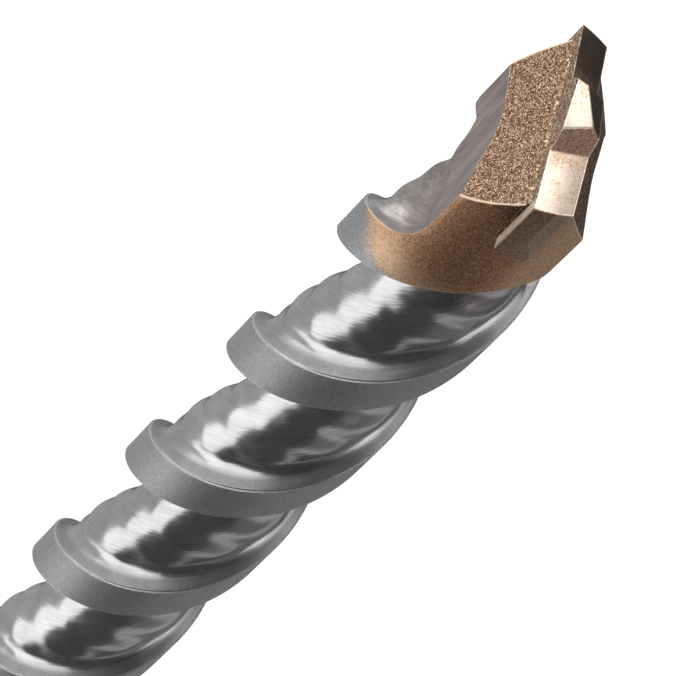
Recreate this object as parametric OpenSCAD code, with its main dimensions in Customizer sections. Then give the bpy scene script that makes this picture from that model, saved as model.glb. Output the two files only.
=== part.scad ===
// Hammer drill bit for masonry: one forged and milled steel body with a two-start
// right-hand spiral, a slotted head and a grooved shank, and a hard metal cutting plate
// brazed into the slot. It stands on the end of its shank, with the tip up. The plate
// runs along X, and its +X wing cuts towards +Y.

/* [Overall] */
// Length from the end of the shank to the tip
overall_length = 160; // [160:5:260]
// Diameter of the hole that the plate cuts, a little over the nominal size
cutting_d = 10.2; // [9.9:0.1:12]

/* [Spiral] */
// Diameter over the spiral lands
spiral_d = 9.1; // [8.7:0.1:9.5]
// Length of the spiral with its run-out, measured back from the tip
spiral_length = 100; // [70:1:100]
// Height that a land climbs in one full turn
lead = 25.5; // [20:0.5:34]
// Angle that one land covers around the axis
land_angle = 44; // [36:1:54]
// Diameter across the bottoms of the two flutes
core_d = 4.9; // [4.4:0.1:5.4]
// Diameter across the low rib that runs along each flute, below the tip side of the land
rib_d = 7.2; // [6.6:0.1:7.6]
// Depth of the shallow valley between that rib and the land
rib_valley = 0.08; // [0.04:0.01:0.2]
// Length over which the flutes run out towards the neck
flute_runout = 12; // [6:1:18]

/* [Head] */
// Angle from the plate back to the trailing edge of the head land
head_trail_angle = 43; // [36:1:48]
// Angle from the plate forward to the leading edge of the head land
head_lead_angle = 36; // [33:1:42]
// Distance from the tip at which the trailing edge starts to follow the spiral
head_straight = 10.4; // [9:0.1:13]
// Turn over which the trailing edge bends from the spiral into the straight head
trail_bend = 24; // [8:1:30]
// Turn over which the leading edge bends from the spiral into the straight head
lead_bend = 8; // [4:1:20]
// Distance over which the flute of the head runs in, and the helical one runs out
head_blend = 5; // [3:0.1:7]
// Angle from the plate to the lowest line of the head flute
head_flute_low = 72; // [66:1:90]
// Rise of the head flute from that line to its trailing side
head_flute_bow = 0.52; // [0.3:0.01:0.6]
// Slope of the two roof faces beside the plate
roof_angle = 54.5; // [48:0.5:60]
// Distance from the tip down to the roof faces, beside the plate
roof_drop = 2.1; // [1.9:0.05:3]
// Angle between the roof faces and the plate, seen from the tip
roof_skew = 4; // [0:0.5:8]

/* [Cutting plate] */
// Thickness of the plate
plate_t = 1.65; // [1.3:0.05:2.2]
// Height of the plate
plate_h = 5.8; // [5:0.1:8]
// Length of the centring point along the plate
point_length = 1.85; // [1.2:0.05:2.6]
// Slope of the two sides of the centring point
point_slope = 33; // [25:1:40]
// Angle between the crest of the centring point and the plate, seen from the tip
point_skew = 18; // [0:1:22]
// Height of the centring point above the wings
point_height = 1.36; // [0.9:0.01:1.6]
// Slope of the step from the centring point down to each wing
step_slope = 56; // [45:1:65]
// Fall of each wing towards the outside
wing_fall = 3.5; // [0:0.5:10]
// Clearance slope of each wing behind its cutting edge
wing_clearance = 24; // [15:1:30]
// Thickness of the braze on each side of the plate and under it
braze_t = 0.1; // [0.05:0.01:0.15]
// Depth of the braze below the outside of the head
braze_recess = 0.12; // [0.05:0.01:0.3]

/* [Shank] */
// Diameter of the shank
shank_d = 10; // [9.8:0.1:10.4]
// Length of the full shank diameter, with its end chamfer
shank_length = 58; // [54:0.5:58]
// Height of the chamfer at the shank end
end_chamfer = 0.8; // [0.4:0.1:1]
// Diameter of the neck between shank and spiral
neck_d = 8.5; // [8.2:0.1:8.6]
// Length of the cone from shank to neck
neck_cone = 1.5; // [1:0.1:2]
// Radius of the ball that shapes the two closed grooves
ball_r = 3.5; // [3:0.1:3.6]
// Depth of the closed grooves
ball_groove_depth = 1.6; // [1:0.1:1.8]
// Distance from the shank end to the first ball centre
ball_groove_start = 10.5; // [9:0.5:12]
// Distance between the first and the last ball centre
ball_groove_travel = 14; // [10:0.5:15]
// Width of the two open driving grooves
drive_groove_w = 4.6; // [3.6:0.1:5]
// Depth of the open driving grooves
drive_groove_depth = 1.5; // [1:0.1:1.8]
// Length of the full depth of the driving grooves, from the shank end
drive_groove_length = 23; // [18:0.5:25]
// Radius of the disc cutter that ends the driving grooves
drive_cutter_r = 12; // [8:0.5:14]
// Angle from the cutting plate to the driving grooves, around the axis
groove_turn = 45; // [35:1:55]

/* [Hidden] */
$fn = 72;
steel_grey = [0.46, 0.46, 0.47];
carbide_grey = [0.62, 0.60, 0.57];
braze_gold = [0.72, 0.58, 0.34];

half_turn = 180;
full_turn = 360;
// Overlap that a cutter needs past the surface that it cuts
past = 1;

land_r = spiral_d / 2;
core_r = core_d / 2;
rib_r = rib_d / 2;
plate_r = cutting_d / 2;
shank_r = shank_d / 2;
neck_r = neck_d / 2;
spiral_bottom = overall_length - spiral_length;
slot_w = plate_t + 2 * braze_t;
plate_bottom = overall_length - plate_h;
slot_bottom = plate_bottom - braze_t;
// The spiral's own top lies just under the tip, above the highest steel left by the roof
spiral_top = overall_length - roof_drop / 2;

// Stations across one land, and across one flute from its deep side to its rib side
land_steps = 5;
wall_end = 0.08;
rib_at = 0.83;
flute_stations = [0.03, 0.06, 0.1, 0.17, 0.26, 0.36, 0.46, 0.56, 0.66, 0.75, 0.83, 0.87, 0.91, 0.955];
rings_per_turn = 26;
ring_count = ceil(rings_per_turn * (spiral_top - spiral_bottom) / lead);
taper_share = 0.9;

// Smooth change from 0 to 1 as v runs from a to b
function blend(v, a, b) =
    let (t = max(0, min(1, (v - a) / (b - a)))) t * t * (3 - 2 * t);

// The smaller of two values, rounded off where they come within w of each other
function soft_min(a, b, w) =
    let (h = max(0, w - abs(a - b)) / w) min(a, b) - h * h * w / 4;

// Angles of the trailing and the leading edge of one land at height z
function helix_angle(z) =
    -head_trail_angle + full_turn * (z - (overall_length - head_straight)) / lead;
function trail_angle(z) = soft_min(helix_angle(z), -head_trail_angle, trail_bend);
function lead_angle(z) = soft_min(helix_angle(z) + land_angle, head_lead_angle, lead_bend);

// Radius of the helical flute: steep wall, rising floor, rib, valley and the face up to
// the next land
function wall_radius(u) = core_r + (land_r - core_r) * (1 - blend(u, 0, wall_end));
function floor_radius(u) =
    core_r + (rib_r - core_r) * sin(90 * (u - wall_end) / (rib_at - wall_end));
function face_radius(u) =
    let (t = (u - rib_at) / (1 - rib_at))
    rib_r + (land_r - rib_r) * t * t - rib_valley * sin(half_turn * t);
function helical_radius(u) =
    u < wall_end ? wall_radius(u) : u < rib_at ? floor_radius(u) : face_radius(u);

// Radius of the head flute at angle a: a nearly flat floor, bowed up towards its edges
flute_reach = half_turn - head_trail_angle - head_flute_low;
function head_radius(a) =
    let (rise = sin(a), floor_y = core_r + head_flute_bow * pow((a - head_flute_low) / flute_reach, 2))
    rise * land_r < floor_y ? land_r : floor_y / rise;

// Radius of the flute at share u and height z. The helical flute runs out at both ends, and
// the deeper of it and the head flute stands where they meet.
function flute_radius(u, z) =
    let (a = lead_angle(z) + u * (trail_angle(z) + half_turn - lead_angle(z)),
         turn_z = overall_length - head_straight,
         helical_share = blend(z, spiral_bottom, spiral_bottom + flute_runout)
             * (1 - blend(z, turn_z, turn_z + head_blend)),
         head_share = blend(z, turn_z - head_blend, turn_z))
    land_r - max(helical_share * (land_r - helical_radius(u)),
                 head_share > 0 ? head_share * (land_r - head_radius(a)) : 0);

// One ring of the spiral at height z, in two like halves
function half_ring(z) = concat(
    [for (i = [0 : land_steps])
        [land_r, trail_angle(z) + (lead_angle(z) - trail_angle(z)) * i / land_steps]],
    [for (u = flute_stations)
        [flute_radius(u, z), lead_angle(z) + u * (trail_angle(z) + half_turn - lead_angle(z))]]);
function ring_points(z, scale_r) =
    [for (turn = [0, half_turn], p = half_ring(z))
        [scale_r * p[0] * cos(p[1] + turn), scale_r * p[0] * sin(p[1] + turn), z]];

// Large block whose underside is the plane z = height + slope_x x + slope_y y
module above_plane(height, slope_x, slope_y) {
    reach = 4 * cutting_d;
    translate([0, 0, height])
        rotate([0, atan(norm([slope_x, slope_y])), atan2(-slope_y, -slope_x)])
            translate([-reach / 2, -reach / 2, 0]) cube(reach);
}

// Everything above a gable roof that runs along X, with its ridge at the given height
module above_gable(ridge_z, slope, reach) {
    low_z = ridge_z - reach * tan(slope);
    rotate([90, 0, 90])
        linear_extrude(height = 2 * reach, center = true)
            polygon([[-reach, low_z], [0, ridge_z], [reach, low_z],
                     [reach, ridge_z + reach], [-reach, ridge_z + reach]]);
}

// Everything above the two roof faces of the steel head
module above_roof() {
    rotate([0, 0, roof_skew])
        above_gable(overall_length - roof_drop + tan(roof_angle) * plate_t / 2,
                    roof_angle, plate_r + past);
}

// The fluted shaft and head as one swept solid
module spiral() {
    heights = [for (i = [0 : ring_count])
        spiral_bottom + (spiral_top - spiral_bottom) * i / ring_count];
    per_ring = 2 * (land_steps + 1 + len(flute_stations));
    points = [for (i = [0 : ring_count], p = ring_points(heights[i], i == 0 ? taper_share : 1)) p];
    sides = [for (i = [0 : ring_count - 1], j = [0 : per_ring - 1])
        let (a = i * per_ring + j, b = i * per_ring + (j + 1) % per_ring)
        each [[a, a + per_ring, b], [b, a + per_ring, b + per_ring]]];
    bottom = [for (j = [0 : per_ring - 1]) j];
    top = [for (j = [per_ring - 1 : -1 : 0]) ring_count * per_ring + j];
    polyhedron(points = points, faces = concat(sides, [bottom], [top]), convexity = 10);
}

// Slot that takes the plate and its braze
module plate_slot(reach, top_z) {
    translate([-reach, -slot_w / 2, slot_bottom])
        cube([2 * reach, slot_w, top_z - slot_bottom]);
}

// One closed groove, a quarter turn ahead of the first driving groove, shaped by a ball
// that travels along the shank
module ball_groove() {
    translate([0, shank_r - ball_groove_depth + ball_r, ball_groove_start]) {
        sphere(r = ball_r);
        cylinder(r = ball_r, h = ball_groove_travel);
        translate([0, 0, ball_groove_travel]) sphere(r = ball_r);
    }
}

// The first driving groove, open at the shank end and run out by a disc cutter
module drive_groove() {
    floor_r = shank_r - drive_groove_depth;
    translate([floor_r, -drive_groove_w / 2, -past])
        cube([shank_r, drive_groove_w, drive_groove_length + past]);
    translate([floor_r + drive_cutter_r, drive_groove_w / 2, drive_groove_length])
        rotate([90, 0, 0]) cylinder(r = drive_cutter_r, h = drive_groove_w, $fn = 144);
}

// Turned shank and neck, with the two pairs of grooves
module shank() {
    neck_z = shank_length + neck_cone;
    neck_top = max(spiral_bottom, neck_z) + past;
    difference() {
        rotate_extrude()
            polygon([[0, 0], [shank_r - end_chamfer, 0], [shank_r, end_chamfer],
                     [shank_r, shank_length], [neck_r, neck_z],
                     [neck_r, neck_top], [0, neck_top]]);
        for (turn = [0, half_turn]) rotate([0, 0, groove_turn + turn]) {
            ball_groove();
            drive_groove();
        }
    }
}

// The whole steel body
module drill_body() {
    color(steel_grey) union() {
        difference() {
            spiral();
            above_roof();
            plate_slot(plate_r + past, overall_length);
        }
        shank();
    }
}

// Everything above one wing of the plate: the step and the wing's flank
module above_wing() {
    step_x = point_length / 2;
    foot_x = step_x + point_height / tan(step_slope);
    intersection() {
        above_plane(overall_length + step_x * tan(step_slope),
                    -tan(step_slope), tan(wing_clearance));
        above_plane(overall_length - point_height + foot_x * tan(wing_fall),
                    -tan(wing_fall), tan(wing_clearance));
    }
}

// Hard metal plate with its centring point and two wings
module carbide_plate() {
    color(carbide_grey) difference() {
        intersection() {
            translate([0, 0, plate_bottom]) cylinder(r = plate_r, h = plate_h);
            translate([-plate_r, -plate_t / 2, plate_bottom]) cube([cutting_d, plate_t, plate_h]);
        }
        rotate([0, 0, point_skew]) above_gable(overall_length, point_slope, plate_r);
        for (turn = [0, half_turn]) rotate([0, 0, turn]) above_wing();
    }
}

// Braze that fills the gap between slot and plate on three sides
module braze_layer() {
    braze_r = land_r - braze_recess;
    color(braze_gold) difference() {
        intersection() {
            plate_slot(plate_r, overall_length);
            translate([0, 0, slot_bottom]) cylinder(r = braze_r, h = plate_h + braze_t);
        }
        translate([-plate_r, -plate_t / 2, plate_bottom])
            cube([cutting_d, plate_t, plate_h + past]);
        above_roof();
    }
}

drill_body();
carbide_plate();
braze_layer();
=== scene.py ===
"""Looks of a masonry drill bit, built around its packed construction.

The steel body is one swept and milled mesh, the cutting plate is a bevelled block of hard
metal, and the braze is a thin seam between the two. All sizes are in metres, in the frame of
the construction: +Z along the drill axis towards the tip, +X along the cutting plate.
"""

import logging
import math
from dataclasses import asdict, dataclass
from enum import Enum
from typing import Dict, List, Optional, Sequence, Tuple, Union

import bmesh
import bpy
from mathutils import Matrix, Vector


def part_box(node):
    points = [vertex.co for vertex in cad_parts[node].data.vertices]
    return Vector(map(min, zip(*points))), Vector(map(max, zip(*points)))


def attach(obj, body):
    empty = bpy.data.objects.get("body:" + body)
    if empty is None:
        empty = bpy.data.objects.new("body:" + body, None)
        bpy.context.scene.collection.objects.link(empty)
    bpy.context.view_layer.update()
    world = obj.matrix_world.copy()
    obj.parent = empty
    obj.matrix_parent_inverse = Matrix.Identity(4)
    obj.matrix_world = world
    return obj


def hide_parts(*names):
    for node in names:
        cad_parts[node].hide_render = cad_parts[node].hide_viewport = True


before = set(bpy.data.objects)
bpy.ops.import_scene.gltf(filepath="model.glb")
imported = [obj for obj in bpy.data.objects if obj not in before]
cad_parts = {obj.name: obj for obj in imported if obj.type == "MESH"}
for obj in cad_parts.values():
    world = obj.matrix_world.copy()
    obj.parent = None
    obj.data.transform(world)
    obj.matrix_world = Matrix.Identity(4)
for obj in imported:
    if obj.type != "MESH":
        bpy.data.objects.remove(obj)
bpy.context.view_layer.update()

MM = 0.001
WELD = 0.0001 * MM
BODY = "root"
LOG = logging.getLogger("drill_bit")

Point = Tuple[float, float]
Band = Tuple[float, float]
Colour = Tuple[float, float, float]


class Cut(Enum):
    """How one closed mesh changes another."""

    REMOVE = "DIFFERENCE"
    JOIN = "UNION"


class Field:
    """A value in a node tree that is put together with plain arithmetic."""

    def __init__(self, tree: bpy.types.NodeTree, socket: bpy.types.NodeSocket) -> None:
        """Wraps an output socket.

        Args:
            tree: The node tree that the socket is in.
            socket: The output that carries the value.
        """
        self.tree = tree
        self.socket = socket

    @staticmethod
    def feed(tree: bpy.types.NodeTree, value: "Value", socket: bpy.types.NodeSocket) -> None:
        """Links a field to an input, or writes a plain number there.

        Args:
            tree: The node tree.
            value: The field or the number.
            socket: The input.
        """
        if isinstance(value, Field):
            tree.links.new(value.socket, socket)
        else:
            socket.default_value = value

    def combine(self, operation: str, *values: "Value") -> "Field":
        """Adds one Math node.

        Args:
            operation: Blender's name of the operation.
            values: The operands in order, fields or plain numbers.

        Returns:
            The result.
        """
        node = self.tree.nodes.new("ShaderNodeMath")
        node.operation = operation
        for value, socket in zip(values, node.inputs):
            Field.feed(self.tree, value, socket)
        return Field(self.tree, node.outputs[0])

    def __add__(self, other: "Value") -> "Field":
        """Sum."""
        return self.combine("ADD", self, other)

    __radd__ = __add__

    def __mul__(self, other: "Value") -> "Field":
        """Product."""
        return self.combine("MULTIPLY", self, other)

    __rmul__ = __mul__

    def __sub__(self, other: "Value") -> "Field":
        """Difference."""
        return self.combine("SUBTRACT", self, other)

    def __rsub__(self, other: "Value") -> "Field":
        """Difference with this field as the second operand."""
        return self.combine("SUBTRACT", other, self)

    def __truediv__(self, other: "Value") -> "Field":
        """Quotient."""
        return self.combine("DIVIDE", self, other)

    def __rtruediv__(self, other: "Value") -> "Field":
        """Quotient with this field as the second operand."""
        return self.combine("DIVIDE", other, self)

    def __lt__(self, other: "Value") -> "Field":
        """1 where this field is the smaller one, 0 elsewhere."""
        return self.combine("LESS_THAN", self, other)

    def __gt__(self, other: "Value") -> "Field":
        """1 where this field is the larger one, 0 elsewhere."""
        return self.combine("GREATER_THAN", self, other)

    def __abs__(self) -> "Field":
        """Size without its sign."""
        return self.combine("ABSOLUTE", self)

    def root(self) -> "Field":
        """Square root."""
        return self.combine("SQRT", self)

    def floor(self) -> "Field":
        """Whole number below."""
        return self.combine("FLOOR", self)

    def sin(self) -> "Field":
        """Sine of an angle in radians."""
        return self.combine("SINE", self)

    def cos(self) -> "Field":
        """Cosine of an angle in radians."""
        return self.combine("COSINE", self)

    def at_most(self, limit: "Value") -> "Field":
        """This field, or the limit where that is smaller."""
        return self.combine("MINIMUM", self, limit)

    def at_least(self, limit: "Value") -> "Field":
        """This field, or the limit where that is larger."""
        return self.combine("MAXIMUM", self, limit)

    def blend(self, low: "Value", high: "Value") -> "Field":
        """Smooth change from 0 to 1 as this field runs between two limits.

        Args:
            low: Where the result leaves 0.
            high: Where it reaches 1.

        Returns:
            The share.
        """
        node = self.tree.nodes.new("ShaderNodeMapRange")
        node.interpolation_type = "SMOOTHSTEP"
        for value, socket in zip((self, low, high, 0.0, 1.0), node.inputs):
            Field.feed(self.tree, value, socket)
        return Field(self.tree, node.outputs[0])

    def fade(self, low: "Value", high: "Value") -> "Field":
        """Smooth change from 1 to 0 as this field runs between two limits."""
        return 1.0 - self.blend(low, high)

    def pick(self, when_one: "Value", when_zero: "Value") -> "Field":
        """Chooses between two values with this field as the share of the first."""
        return self * when_one + (1.0 - self) * when_zero


Value = Union[Field, float]
Tint = Union[Colour, bpy.types.NodeSocket]


def soft_max(first: Field, second: Value, width: Value) -> Field:
    """The larger of two values, rounded off where they come within a width of each other."""
    near = (width - abs(first - second)).at_least(0.0) / width
    return first.at_least(second) + near * near * width * 0.25


def soft_min(first: Field, second: Value, width: Value) -> Field:
    """The smaller of two values, rounded off where they come within a width of each other."""
    near = (width - abs(first - second)).at_least(0.0) / width
    return first.at_most(second) - near * near * width * 0.25


def hypotenuse(first: Field, second: Field) -> Field:
    """Length of a plane vector from its two parts."""
    return (first * first + second * second).root()


def vector(tree: bpy.types.NodeTree, *parts: Value) -> bpy.types.NodeSocket:
    """Joins three values to one vector.

    Args:
        tree: The node tree.
        parts: Its three parts, fields or plain numbers.

    Returns:
        The output that carries the vector.
    """
    node = tree.nodes.new("ShaderNodeCombineXYZ")
    for part, socket in zip(parts, node.inputs):
        Field.feed(tree, part, socket)
    return node.outputs[0]


def parts_of(tree: bpy.types.NodeTree, place: bpy.types.NodeSocket) -> List[Field]:
    """Splits a vector into its three parts.

    Args:
        tree: The node tree.
        place: The output that carries the vector.

    Returns:
        The parts along X, Y and Z.
    """
    node = tree.nodes.new("ShaderNodeSeparateXYZ")
    tree.links.new(place, node.inputs[0])
    return [Field(tree, socket) for socket in node.outputs]


@dataclass(frozen=True)
class SpiralForm:
    """Sizes of the fluted part of the steel body, one input of its node tree each.

    Angles are in radians. The trailing and the leading edge of the head land are measured
    from the plate.
    """

    overall_length: float
    bottom: float
    top: float
    lead: float
    land_radius: float
    straight_from: float
    core_radius: float = 2.45 * MM
    rib_radius: float = 3.6 * MM
    rib_valley: float = 0.08 * MM
    land_angle: float = math.radians(44.0)
    trail_angle: float = math.radians(43.0)
    lead_angle: float = math.radians(36.0)
    trail_bend: float = math.radians(24.0)
    lead_bend: float = math.radians(8.0)
    blend_length: float = 5.0 * MM
    flute_low: float = math.radians(72.0)
    flute_bow: float = 0.52 * MM
    runout: float = 12.0 * MM
    edge_round: float = 0.05 * MM
    wave_length: float = 2.55 * MM
    wave_height: float = 0.08 * MM


@dataclass(frozen=True)
class BitSizes:
    """Driving sizes of the bit that the looks share with the construction."""

    overall_length: float
    plate_radius: float
    spiral_length: float = 100.0 * MM
    lead: float = 25.5 * MM
    land_radius: float = 4.55 * MM
    straight_from: float = 10.4 * MM
    roof_angle: float = math.radians(54.5)
    roof_drop: float = 2.1 * MM
    roof_skew: float = math.radians(4.0)
    plate_thickness: float = 1.65 * MM
    plate_height: float = 5.8 * MM
    braze: float = 0.1 * MM
    shank_radius: float = 5.0 * MM
    shank_length: float = 58.0 * MM
    end_chamfer: float = 0.8 * MM
    neck_radius: float = 4.25 * MM
    neck_cone: float = 1.5 * MM
    groove_turn: float = math.radians(45.0)

    @property
    def spiral_bottom(self) -> float:
        """Height of the lower end of the fluted part."""
        return self.overall_length - self.spiral_length

    @property
    def head_bottom(self) -> float:
        """Height at which the helix turns into the straight head."""
        return self.overall_length - self.straight_from

    @property
    def ridge(self) -> float:
        """Height at which the two roof faces would meet over the plate."""
        return (self.overall_length - self.roof_drop
                + math.tan(self.roof_angle) * self.plate_thickness / 2)

    @classmethod
    def from_frame(cls) -> "BitSizes":
        """Reads the overall length and the plate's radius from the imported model."""
        plate_low, plate_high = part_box("carbide_plate")
        return cls(overall_length=plate_high.z, plate_radius=(plate_high.x - plate_low.x) / 2)


def new_object(name: str, data: bpy.types.ID) -> bpy.types.Object:
    """Puts a mesh, a lamp or a camera into the scene.

    Args:
        name: Name of the object.
        data: Its mesh, in the frame's own coordinates, or its lamp or camera.

    Returns:
        The new object, at the origin.
    """
    obj = bpy.data.objects.new(name, data)
    bpy.context.scene.collection.objects.link(obj)
    return obj


def mesh_from(name: str, corners: Sequence[Vector],
              sides: Sequence[Sequence[int]]) -> bpy.types.Object:
    """Makes an object from corners and faces, and turns all faces outwards.

    Args:
        name: Name of the object.
        corners: Places of the corners.
        sides: Numbers of the corners round each face.

    Returns:
        The object, with corners that lie on each other merged.
    """
    mesh = bpy.data.meshes.new(name)
    mesh.from_pydata([tuple(c) for c in corners], [], sides)
    shape = bmesh.new()
    shape.from_mesh(mesh)
    bmesh.ops.remove_doubles(shape, verts=shape.verts, dist=WELD)
    bmesh.ops.recalc_face_normals(shape, faces=shape.faces)
    shape.to_mesh(mesh)
    shape.free()
    return new_object(name, mesh)


def prism(name: str, outline: Sequence[Point], low: float, high: float,
          place: Optional[Matrix] = None) -> bpy.types.Object:
    """Extrudes a closed outline along its own third axis.

    Args:
        name: Name of the object.
        outline: Corners in order.
        low: Start of the extrusion.
        high: End of the extrusion.
        place: Turns and moves the prism to its place.

    Returns:
        The closed prism.
    """
    count = len(outline)
    place = place or Matrix.Identity(4)
    corners = [place @ Vector((x, y, z)) for z in (low, high) for x, y in outline]
    sides = [[i, (i + 1) % count, count + (i + 1) % count, count + i] for i in range(count)]
    sides += [list(range(count))[::-1], list(range(count, 2 * count))]
    return mesh_from(name, corners, sides)


def gable(name: str, crest: float, slope: float, reach: float, length: float,
          skew: float) -> bpy.types.Object:
    """Everything above two slopes that fall away from a crest over the X axis.

    Args:
        name: Name of the object.
        crest: Height of the crest.
        slope: Fall of both slopes, in radians.
        reach: Half its width, and how far it rises over the crest.
        length: Half its length along the crest.
        skew: Turn of the crest from +X, in radians.

    Returns:
        The closed prism.
    """
    low, high = crest - reach * math.tan(slope), crest + reach
    outline = [(-reach, low), (0.0, crest), (reach, low), (reach, high), (-reach, high)]
    along_x = Matrix(((0, 0, 1, 0), (1, 0, 0, 0), (0, 1, 0, 0), (0, 0, 0, 1)))
    return prism(name, outline, -length, length, Matrix.Rotation(skew, 4, "Z") @ along_x)


def lathe(name: str, profile: Sequence[Point], segments: int) -> bpy.types.Object:
    """Turns a profile about the Z axis.

    Args:
        name: Name of the object.
        profile: Pairs of radius and height, from the axis back to the axis.
        segments: Number of steps in a full turn.

    Returns:
        The closed turned shape.
    """
    turns = [2 * math.pi * i / segments for i in range(segments)]
    corners = [Vector((r * math.cos(a), r * math.sin(a), z)) for r, z in profile for a in turns]
    sides = [[k * segments + i, k * segments + (i + 1) % segments,
              (k + 1) * segments + (i + 1) % segments, (k + 1) * segments + i]
             for k in range(len(profile) - 1) for i in range(segments)]
    return mesh_from(name, corners, sides)


def arc(centre: Point, radius: float, start: float, end: float, steps: int) -> List[Point]:
    """Points on a circular arc, both ends included, with angles in radians."""
    return [(centre[0] + radius * math.cos(start + (end - start) * i / steps),
             centre[1] + radius * math.sin(start + (end - start) * i / steps))
            for i in range(steps + 1)]


def evaluated(obj: bpy.types.Object) -> bpy.types.Object:
    """Turns the result of an object's modifiers into its own plain mesh.

    Args:
        obj: The object with its modifiers.

    Returns:
        The same object without modifiers.
    """
    bpy.context.view_layer.update()
    depsgraph = bpy.context.evaluated_depsgraph_get()
    mesh = bpy.data.meshes.new_from_object(obj.evaluated_get(depsgraph))
    obj.modifiers.clear()
    obj.data = mesh
    return obj


def shape_with(obj: bpy.types.Object, tool: bpy.types.Object, cut: Cut) -> None:
    """Changes a closed mesh by another one, and removes that one.

    Args:
        obj: The mesh that is changed.
        tool: The mesh that cuts or joins it.
        cut: What is done.
    """
    modifier = obj.modifiers.new("shape", "BOOLEAN")
    modifier.solver = "MANIFOLD"
    modifier.operation = cut.value
    modifier.object = tool
    evaluated(obj)
    bpy.data.objects.remove(tool)


def smooth_with_edges(obj: bpy.types.Object, edge_angle: float) -> None:
    """Shades an object smoothly between edges that turn by more than an angle in degrees."""
    obj.data.shade_smooth()
    obj.data.set_sharp_from_angle(angle=math.radians(edge_angle))


def dressed(obj: bpy.types.Object, material: bpy.types.Material) -> None:
    """Gives an object one material all over."""
    obj.data.materials.clear()
    obj.data.materials.append(material)


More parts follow.
